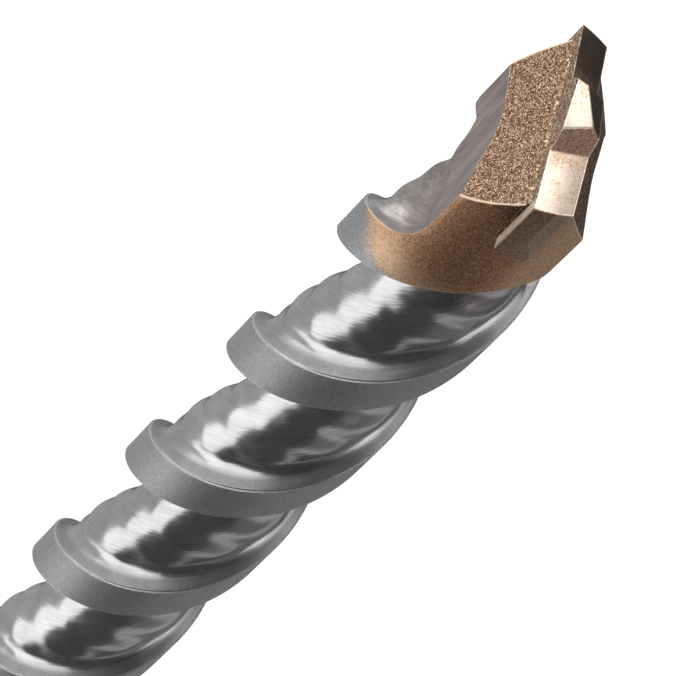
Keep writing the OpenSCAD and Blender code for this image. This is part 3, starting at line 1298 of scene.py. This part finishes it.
@dataclass(frozen=True)
class SteelFinish:
    """Colours, grain and shine of the steel body, from the copper-brown head to the shank.

    A shine value scales a colour, and the values named after a pattern, such as clouds or
    streaks, say how much that pattern changes the shine. Each rough value is added to the
    roughness of the smooth steel where its face is.
    """

    coarse_light: Colour = (0.36, 0.21, 0.13)
    coarse_dark: Colour = (0.055, 0.031, 0.02)
    coarse_sparkle: Colour = (0.92, 0.68, 0.48)
    fine_light: Colour = (0.73, 0.39, 0.205)
    fine_dark: Colour = (0.24, 0.13, 0.075)
    # copper of the band along the tint border and on the leading side: partly heat-tint colour,
    # partly painted highlight
    bright_copper: Colour = (0.98, 0.66, 0.42)
    # pale copper of the painted glints and of the edge lines, which carry edge wear and painted
    # edge highlight
    copper_edge: Colour = (0.95, 0.78, 0.60)
    tinted_flute: Colour = (0.64, 0.51, 0.47)
    blasted_grey: Colour = (0.48, 0.48, 0.49)
    polished_grey: Colour = (0.86, 0.86, 0.86)
    ground_grey: Colour = (0.46, 0.46, 0.47)
    # pale grey of the edge lines: edge wear and painted edge highlight
    bare_edge: Colour = (0.85, 0.85, 0.84)
    coarse_pit: float = 0.042 * MM
    fine_pit: float = 0.042 * MM
    grain_tone: Band = (0.25, 0.75)
    tint_from: float = 13.4 * MM
    swell: float = 2.2 * MM
    swell_height: float = 0.12 * MM
    fine_glints: float = 0.6
    slot_share: float = 0.85
    slot_dims: float = 0.45
    edge_share: float = 0.75
    flute_shine: float = 0.6
    flute_clouds: float = 0.3
    flute_streaks: float = 0.2
    tint_dims: float = 0.15
    tint_streaks: float = 0.5
    face_share: float = 0.8
    face_shine: float = 0.75
    face_clouds: float = 0.45
    grey_shine: float = 0.55
    grey_grain: float = 0.9
    turned_shine: float = 0.82
    turned_lines: float = 0.36
    smooth: float = 0.17
    rough_clouds: float = 0.12
    rough_land: float = 0.3
    rough_roof: float = 0.26
    rough_face: float = 0.22
    rough_edge: float = -0.1
    rough_shank: float = 0.14
    rough_milled: float = 0.18

    def blasted_roof(self, steel: SteelSurface) -> bpy.types.NodeSocket:
        """Coarse blasted copper-brown of the roof faces, with pits that sparkle.

        Args:
            steel: The material under construction.

        Returns:
            The colour.
        """
        tone = steel.coarse["Tone"].blend(*self.grain_tone)
        return steel.mixed(steel.coarse["Sparkle"],
                           steel.mixed(tone, self.coarse_dark, self.coarse_light),
                           self.coarse_sparkle)

    def copper(self, steel: SteelSurface, rough: bpy.types.NodeSocket) -> bpy.types.NodeSocket:
        """Fine blasted copper of the head land with painted glints and a band that is partly
        heat-tint colour and partly painted highlight; rough beside the slot.

        Args:
            steel: The material under construction.
            rough: Colour of the rough faces.

        Returns:
            The colour.
        """
        tone = steel.fine["Tone"].blend(*self.grain_tone)
        copper = steel.mixed(tone, self.fine_dark, self.fine_light)
        # painted highlight with heat-tint colour in the band along the tint border and on the
        # leading side
        copper = steel.mixed(steel.bright, copper, self.bright_copper)
        # painted glints on single pits, in the pale copper
        glints = (steel.fine["Sparkle"] * self.fine_glints).at_least(
            steel.coarse["Sparkle"] * steel.bright)
        copper = steel.mixed(glints, copper, self.copper_edge)
        return steel.mixed(steel.beside_slot * self.slot_share, copper,
                           steel.scaled(rough, 1.0 - steel.tinted * self.slot_dims))

    def flute(self, steel: SteelSurface, grey: bpy.types.NodeSocket) -> bpy.types.NodeSocket:
        """Smooth ground steel of the flutes, tinted near the head and dull beside the lands.

        Args:
            steel: The material under construction.
            grey: Colour of the blasted lands.

        Returns:
            The colour.
        """
        tint, clouds = steel.flute_tint, steel.clouds
        shine = (self.flute_shine - tint * self.tint_dims + clouds * self.flute_clouds
                 + steel.streaks["Tone"] * (self.flute_streaks + tint * self.tint_streaks))
        flute = steel.scaled(steel.mixed(tint, self.polished_grey, self.tinted_flute), shine)
        face = steel.scaled(grey, self.face_shine - clouds * self.face_clouds)
        return steel.mixed(steel.face * self.face_share, flute, face)

    def colour(self, steel: SteelSurface) -> bpy.types.NodeSocket:
        """Base colour all over the body.

        Args:
            steel: The material under construction.

        Returns:
            The colour.
        """
        rough = self.blasted_roof(steel)
        grey = steel.scaled(self.blasted_grey,
                            self.grey_shine + steel.fine["Tone"] * self.grey_grain)
        blasted = steel.mixed(steel.tinted, grey, self.copper(steel, rough))
        colour = steel.mixed(steel.land, self.flute(steel, grey), blasted)
        # pale edge line, grey or copper: edge wear and painted edge highlight
        bare = steel.mixed(steel.tinted, self.bare_edge, self.copper_edge)
        colour = steel.mixed(steel.edge * self.edge_share, colour, bare)
        colour = steel.mixed(steel.roof * (1.0 - steel.shoulder), colour, rough)
        turned = steel.scaled(self.ground_grey,
                              self.turned_shine + steel.turned["Tone"] * self.turned_lines)
        return steel.mixed(steel.shank, colour, turned)

    def material(self, sizes: BitSizes, effects: Effects) -> bpy.types.Material:
        """Builds the material.

        Args:
            sizes: Driving sizes that tell lands, flutes and roof faces apart.
            effects: The shared effects.

        Returns:
            The steel's material.
        """
        steel = SteelSurface(self, sizes, effects)
        land, roof, shank, flutes = steel.land, steel.roof, steel.shank, steel.flutes
        swell = steel.blotches(self.swell, detail=1.0) * self.swell_height
        height = (flutes * (swell + steel.streaks["Height"]) + roof * steel.coarse["Height"]
                  + land * (1.0 - roof) * steel.fine["Height"]
                  + shank * steel.turned["Height"])
        roughness = (self.smooth + flutes * steel.clouds * self.rough_clouds
                     + land * self.rough_land + roof * self.rough_roof
                     + steel.face * self.rough_face + steel.edge * self.rough_edge
                     + shank * self.rough_shank + steel.milled * self.rough_milled)
        return steel.finish(self.colour(steel), roughness, height)


class PlateSurface(Surface):
    """The plate's material under construction, with masks that tell its faces apart.

    A band holds the two values between which a mask runs from one end to the other.
    """

    SPECK_TONE: Band = (0.66, 0.74)
    SPECK_CLOUDS: Band = (0.42, 0.62)
    SIDE_DEPTH: Band = (0.02 * MM, 0.05 * MM)
    END_DEPTH: Band = (0.05 * MM, 0.10 * MM)
    EDGE_DEPTH = 0.03 * MM
    EDGE_WIDTH = 0.05 * MM
    CREST_DEPTH: Band = (0.02 * MM, 0.07 * MM)
    STEP_PAST_FOOT: Band = (-0.06 * MM, 0.02 * MM)
    SHADE_REACH: Band = (1.9 * MM, 3.1 * MM)
    SHADE = 0.25
    SHADE_CLOUDS = 0.6
    PROUD_PAST_LAND: Band = (-0.05 * MM, 0.05 * MM)
    LEAST_REACH = 0.1 * MM
    RELIEF_FROM_TIP: Band = (4.0 * MM, 5.4 * MM)
    RELIEF_START = 0.15 * MM
    RELIEF_RUNS = 0.6 * MM
    RELIEF_BORDER = 0.08 * MM
    RELIEF_WIDTH = 0.06 * MM

    def __init__(self, plate: CuttingPlate, effects: Effects) -> None:
        """Places the effects, and works out the masks from 0 to 1.

        Args:
            plate: The plate and its sizes.
            effects: The shared effects.
        """
        super().__init__("ground_carbide", effects)
        self.fine = self.grain(pit=0.055 * MM, sparkling=0.08)
        self.coarse = self.grain(pit=0.07 * MM, sparkling=0.22)
        self.ground = self.lines(self.x, self.z, self.y, spacing=0.05 * MM, stretch=16.0)
        self.clouds = self.blotches(size=0.9 * MM, detail=3.0)
        specks = self.fine["Sparkle"].at_least(self.coarse["Tone"].blend(*self.SPECK_TONE))
        self.specks = specks * self.clouds.blend(*self.SPECK_CLOUDS)
        under_side = plate.sizes.plate_thickness / 2 - abs(self.y)
        self.side = under_side.fade(*self.SIDE_DEPTH)
        self.end = (plate.sizes.plate_radius - self.radius).fade(*self.END_DEPTH)
        self.inner = self.side * (1.0 - self.end)
        # pale line along the cutting edges: edge wear and painted edge highlight
        self.tip_edge = (self.worn(under_side - self.EDGE_DEPTH, self.EDGE_WIDTH)
                         * (1.0 - self.side) * (1.0 - self.end))
        self.mask_brown(plate)
        self.mask_ends(plate.sizes)

    def mask_brown(self, plate: CuttingPlate) -> None:
        """Mask of all faces but the pale ground flanks, with painted shade near the centre point
        added in.

        Args:
            plate: The plate and its sizes.
        """
        across = abs(self.x)
        from_crest = abs(self.y * math.cos(plate.point_skew) - self.x * math.sin(plate.point_skew))
        below_crest = (plate.sizes.overall_length - self.z
                       - from_crest * math.tan(plate.point_slope))
        step = (across - plate.step_foot).fade(*self.STEP_PAST_FOOT)
        # painted shade near the centre point, clouded, where the point's faces meet the wings
        shade = across.fade(*self.SHADE_REACH) * (self.SHADE + self.clouds * self.SHADE_CLOUDS)
        near_crest = (step + shade) * below_crest.blend(*self.CREST_DEPTH)
        self.brown = (self.side + self.end + near_crest).at_most(1.0)

    def mask_ends(self, sizes: BitSizes) -> None:
        """Masks of the painted highlight on the plate's side where it stands out past the land, and
        of the relief on the outer end.

        Args:
            sizes: Driving sizes of the bit.
        """
        # painted highlight on the trailing side of the plate where it stands out past the land
        proud = (self.radius - sizes.land_radius).blend(*self.PROUD_PAST_LAND)
        self.proud = self.inner * proud * (self.x * self.y < 0.0)
        turned = self.y * self.x / abs(self.x).at_least(self.LEAST_REACH)
        lower = (sizes.overall_length - self.z).blend(*self.RELIEF_FROM_TIP)
        line = self.RELIEF_START + self.RELIEF_RUNS * lower
        self.relief = self.end * turned.blend(line, line + self.RELIEF_BORDER)
        self.relief_line = self.worn(turned - line, self.RELIEF_WIDTH) * self.end


@dataclass(frozen=True)
class CarbideFinish:
    """Colours and grain of the hard metal: ground pale on its flanks, brown elsewhere, with painted
    shade near the centre point, painted highlight where the plate stands out past the land, and
    edge wear with painted highlight along the cutting edges.
    """

    ground: Colour = (0.50, 0.43, 0.36)
    ground_shade: Colour = (0.40, 0.33, 0.265)
    speckle: Colour = (0.36, 0.20, 0.11)
    brown_light: Colour = (0.60, 0.41, 0.29)
    brown_dark: Colour = (0.30, 0.19, 0.13)
    coarse_dark: Colour = (0.10, 0.06, 0.04)
    sparkle: Colour = (0.95, 0.80, 0.62)
    # pale colour for the painted highlight past the land, the relief and its line, and the edge
    # wear with painted highlight on the cutting edges
    edge: Colour = (0.98, 0.86, 0.72)
    dull_tone: Band = (0.2, 0.8)
    rough_tone: Band = (0.25, 0.75)
    speck_share: float = 0.8
    # share and grain of the painted highlight where the plate stands out past the land
    proud_share: float = 0.45
    proud_grain: float = 0.5
    relief_share: float = 0.22
    relief_edge: float = 0.3
    edge_share: float = 0.8
    brown_grain: float = 0.7
    smooth: float = 0.28
    rough_brown: float = 0.2
    rough_specks: float = 0.15

    def colour(self, hard: PlateSurface) -> bpy.types.NodeSocket:
        """Base colour all over the plate.

        Args:
            hard: The material under construction.

        Returns:
            The colour.
        """
        coarse = hard.coarse["Tone"]
        ground = hard.mixed(hard.ground["Tone"], self.ground_shade, self.ground)
        ground = hard.mixed(hard.specks * self.speck_share, ground, self.speckle)
        dull = hard.mixed(hard.fine["Tone"].blend(*self.dull_tone), self.brown_dark,
                          self.brown_light)
        rough = hard.mixed(coarse.blend(*self.rough_tone), self.coarse_dark, self.brown_light)
        rough = hard.mixed(hard.coarse["Sparkle"], rough, self.sparkle)
        # brown faces, with the painted shade near the centre point mixed in through the brown mask
        colour = hard.mixed(hard.inner, hard.mixed(hard.brown, ground, dull), rough)
        # pale edge colour: painted highlight past the land, pale relief, and edge wear with painted
        # highlight on the cutting edges
        for share in (hard.proud * (self.proud_share + coarse * self.proud_grain),
                      hard.relief * self.relief_share + hard.relief_line * self.relief_edge,
                      hard.tip_edge * self.edge_share):
            colour = hard.mixed(share, colour, self.edge)
        return colour

    def material(self, plate: CuttingPlate, effects: Effects) -> bpy.types.Material:
        """Builds the material.

        Args:
            plate: The plate, whose sizes tell its faces apart.
            effects: The shared effects.

        Returns:
            The hard metal's material.
        """
        hard = PlateSurface(plate, effects)
        height = (hard.brown * hard.fine["Height"] * self.brown_grain
                  + hard.inner * hard.coarse["Height"] + hard.ground["Height"])
        roughness = (self.smooth + hard.brown * self.rough_brown
                     + hard.specks * self.rough_specks)
        return hard.finish(self.colour(hard), roughness, height)


@dataclass(frozen=True)
class BrazeFinish:
    """Colours of the brazing alloy: blasted brown like the head, with gold in its pits."""

    gold: Colour = (0.62, 0.44, 0.24)
    brown: Colour = (0.14, 0.08, 0.05)
    sparkle: Colour = (0.92, 0.78, 0.56)
    pit: float = 0.09 * MM
    drop: float = 0.5 * MM
    sparkling: float = 0.15
    pit_tone: Band = (0.2, 0.8)
    gold_share: float = 0.4
    gold_drops: float = 0.8
    smooth: float = 0.35
    rough_drops: float = 0.25

    def material(self, effects: Effects) -> bpy.types.Material:
        """Builds the material.

        Args:
            effects: The shared effects.

        Returns:
            The braze's material.
        """
        braze = Surface("blasted_braze", effects)
        grain = braze.grain(self.pit, self.sparkling)
        drops = braze.blotches(self.drop, detail=2.0)
        golden = grain["Tone"].blend(*self.pit_tone) * (self.gold_share + drops * self.gold_drops)
        colour = braze.mixed(golden, self.brown, self.gold)
        colour = braze.mixed(grain["Sparkle"], colour, self.sparkle)
        return braze.finish(colour, self.smooth + drops * self.rough_drops, grain["Height"])


def around_axis(azimuth: float, elevation: float, distance: float, aim: float) -> Matrix:
    """Place of a thing that stands round the drill axis and faces a height on it.

    Args:
        azimuth: Direction round the axis from +X, in degrees.
        elevation: Height angle above the horizon, in degrees.
        distance: Distance from the point that it faces.
        aim: Height of that point.

    Returns:
        A matrix whose -Z axis points at the axis of the drill.
    """
    turn, rise = math.radians(azimuth), math.radians(elevation)
    out = Vector((math.cos(turn) * math.cos(rise), math.sin(turn) * math.cos(rise), math.sin(rise)))
    facing = (-out).to_track_quat("-Z", "Y").to_matrix().to_4x4()
    return Matrix.Translation(Vector((0.0, 0.0, aim)) + out * distance) @ facing


def matte(name: str, grey: float, roughness: float) -> bpy.types.Material:
    """Plain grey material for a thing of the studio.

    Args:
        name: Name of the material.
        grey: Its grey, from 0 to 1.
        roughness: Roughness between 0 and 1.

    Returns:
        The material.
    """
    material = bpy.data.materials.new(name)
    material.use_nodes = True
    shader = material.node_tree.nodes["Principled BSDF"]
    shader.inputs["Base Color"].default_value = (grey, grey, grey, 1.0)
    shader.inputs["Roughness"].default_value = roughness
    return material


def seen_plainly(tree: bpy.types.NodeTree) -> Field:
    """Tells rays of the camera, of reflections and through glass from diffuse light.

    Args:
        tree: The node tree of a material or of the world.

    Returns:
        1 for such rays, 0 for diffuse light.
    """
    paths = tree.nodes.new("ShaderNodeLightPath")
    kinds = ("Is Camera Ray", "Is Glossy Ray", "Is Transmission Ray")
    return sum((Field(tree, paths.outputs[kind]) for kind in kinds), 0.0).at_most(1.0)


def reflected_only(card: bpy.types.Object, shade: float) -> bpy.types.Object:
    """Lets only glossy rays see a card of the studio.

    Args:
        card: The card.
        shade: Its grey, from 0 to 1.

    Returns:
        The card.
    """
    dressed(card, matte("card", shade, 1.0))
    card.visible_camera = False
    card.visible_diffuse = False
    card.visible_shadow = False
    card.visible_transmission = False
    return card


@dataclass(frozen=True)
class PhotoCamera:
    """Camera of the photograph, in the frame's coordinates."""

    place: Tuple[float, float, float] = (0.123194, -0.057446, 0.313826)
    azimuth: float = math.radians(155.3228)
    elevation: float = math.radians(-52.7545)
    roll: float = math.radians(44.7129)
    focal_pixels: float = 4646.25
    pixels: int = 676
    near: float = 0.01
    far: float = 20.0

    def build(self) -> bpy.types.Object:
        """Makes the camera and sets it as the scene's own.

        Returns:
            The camera.
        """
        data = bpy.data.cameras.new("photo_camera")
        data.lens = self.focal_pixels / self.pixels * data.sensor_width
        data.clip_start, data.clip_end = self.near, self.far
        camera = new_object("photo_camera", data)
        forward = Vector((math.cos(self.azimuth) * math.cos(self.elevation),
                          math.sin(self.azimuth) * math.cos(self.elevation),
                          math.sin(self.elevation)))
        level = Vector((math.sin(self.azimuth), -math.cos(self.azimuth), 0.0))
        upright = level.cross(forward)
        right = level * math.cos(self.roll) + upright * math.sin(self.roll)
        up = upright * math.cos(self.roll) - level * math.sin(self.roll)
        turn = Matrix((right, up, -forward)).transposed().to_4x4()
        camera.matrix_world = Matrix.Translation(self.place) @ turn
        bpy.context.scene.camera = camera
        return camera


@dataclass(frozen=True)
class SoftBox:
    """One soft area lamp, placed round the drill axis and aimed at a height on it."""

    name: str
    azimuth: float
    elevation: float
    distance: float
    size: float
    power: float
    aim: float

    def build(self) -> bpy.types.Object:
        """Makes the lamp.

        Returns:
            The lamp.
        """
        data = bpy.data.lights.new(self.name, "AREA")
        data.shape = "SQUARE"
        data.size = self.size
        data.energy = self.power
        lamp = new_object(self.name, data)
        lamp.matrix_world = around_axis(self.azimuth, self.elevation, self.distance, self.aim)
        return lamp


@dataclass(frozen=True)
class DarkCard:
    """A dark card of the studio that only reflections see, for contrast on bare metal."""

    name: str
    azimuth: float
    elevation: float
    width: float
    height: float
    distance: float = 0.5
    aim: float = 0.14
    shade: float = 0.04

    def build(self) -> bpy.types.Object:
        """Makes the card.

        Returns:
            The card.
        """
        half_w, half_h = self.width / 2, self.height / 2
        outline = [(-half_w, -half_h), (half_w, -half_h), (half_w, half_h), (-half_w, half_h)]
        place = around_axis(self.azimuth, self.elevation, self.distance, self.aim)
        return reflected_only(prism(self.name, outline, -1.0 * MM, 0.0, place), self.shade)


@dataclass(frozen=True)
class FloorCard:
    """A shaded sector on the floor round the foot of the bit that only reflections see.

    Angles are in degrees from +X, and lengths in metres from the drill axis.
    """

    start: float
    end: float
    inner: float
    outer: float
    shade: float
    steps: int = 24

    def build(self) -> bpy.types.Object:
        """Makes the sector.

        Returns:
            The sector.
        """
        first, last = math.radians(self.start), math.radians(self.end)
        outline = arc((0.0, 0.0), self.outer, first, last, self.steps)
        outline += arc((0.0, 0.0), self.inner, last, first, self.steps)
        return reflected_only(prism("floor_card", outline, 1.0 * MM, 2.0 * MM), self.shade)


@dataclass(frozen=True)
class Studio:
    """Pale floor, white surroundings, soft lamps and a few dark cards."""

    lamps: Tuple[SoftBox, ...] = (
        SoftBox("key", azimuth=-133.0, elevation=42.0, distance=0.8, size=0.55, power=2.4,
                aim=0.14),
        SoftBox("fill", azimuth=60.0, elevation=50.0, distance=1.1, size=0.5, power=0.8,
                aim=0.12),
    )
    cards: Tuple[Union[DarkCard, FloorCard], ...] = (
        DarkCard("camera_side", azimuth=-5.0, elevation=12.0, width=0.9, height=0.6),
        DarkCard("far_right", azimuth=122.0, elevation=14.0, width=0.75, height=0.75),
        FloorCard(start=-58.0, end=20.0, inner=0.03, outer=0.60, shade=0.04),
        FloorCard(start=20.0, end=120.0, inner=0.03, outer=0.15, shade=0.32),
        FloorCard(start=20.0, end=120.0, inner=0.15, outer=0.60, shade=0.10),
        FloorCard(start=120.0, end=180.0, inner=0.03, outer=0.60, shade=0.08),
        FloorCard(start=180.0, end=260.0, inner=0.03, outer=0.60, shade=0.33),
    )
    white: Tuple[float, float, float, float] = (1.0, 1.0, 1.0, 1.0)
    diffuse_light: float = 0.75
    floor_grey: float = 0.9
    floor_roughness: float = 0.9
    floor_glow: float = 0.25
    floor_radius: float = 3.0
    floor_corners: int = 63

    def surroundings(self) -> None:
        """White world for camera and reflections, and a softer one for diffuse light."""
        world = bpy.data.worlds.new("studio")
        bpy.context.scene.world = world
        world.use_nodes = True
        tree = world.node_tree
        background = tree.nodes["Background"]
        background.inputs["Color"].default_value = self.white
        strength = seen_plainly(tree).pick(1.0, self.diffuse_light)
        tree.links.new(strength.socket, background.inputs["Strength"])

    def floor(self) -> bpy.types.Object:
        """Large pale floor that keeps the shadow of the bit.

        Returns:
            The floor.
        """
        outline = arc((0.0, 0.0), self.floor_radius, 0.0, 2 * math.pi, self.floor_corners)
        floor = prism("floor", outline[:-1], -1.0 * MM, 0.0)
        material = matte("pale_floor", self.floor_grey, self.floor_roughness)
        tree = material.node_tree
        shader = tree.nodes["Principled BSDF"]
        shader.inputs["Emission Color"].default_value = self.white
        glow = seen_plainly(tree) * self.floor_glow
        tree.links.new(glow.socket, shader.inputs["Emission Strength"])
        dressed(floor, material)
        return floor

    def build(self) -> None:
        """Sets up world, floor, cards and lamps."""
        self.surroundings()
        self.floor()
        for thing in (*self.cards, *self.lamps):
            thing.build()
        bpy.context.scene.view_settings.view_transform = "Standard"


def main() -> None:
    """Builds the bit and its studio, and reports each piece."""
    logging.basicConfig(level=logging.INFO, format="%(name)s: %(message)s")
    sizes = BitSizes.from_frame()
    body, plate, seam = SteelBody(sizes), CuttingPlate(sizes), BrazeSeam()
    effects = Effects(grain=BlastGrain(), lines=GroundLines(), worn=EdgeWearAndHighlight())
    pieces = (body.build(SteelFinish().material(sizes, effects)),
              plate.build(CarbideFinish().material(plate, effects)),
              seam.build(BrazeFinish().material(effects)))
    PhotoCamera().build()
    Studio().build()
    for piece in pieces:
        LOG.info("%s: %d faces", piece.name, len(piece.data.polygons))


if __name__ == "__main__":
    main()
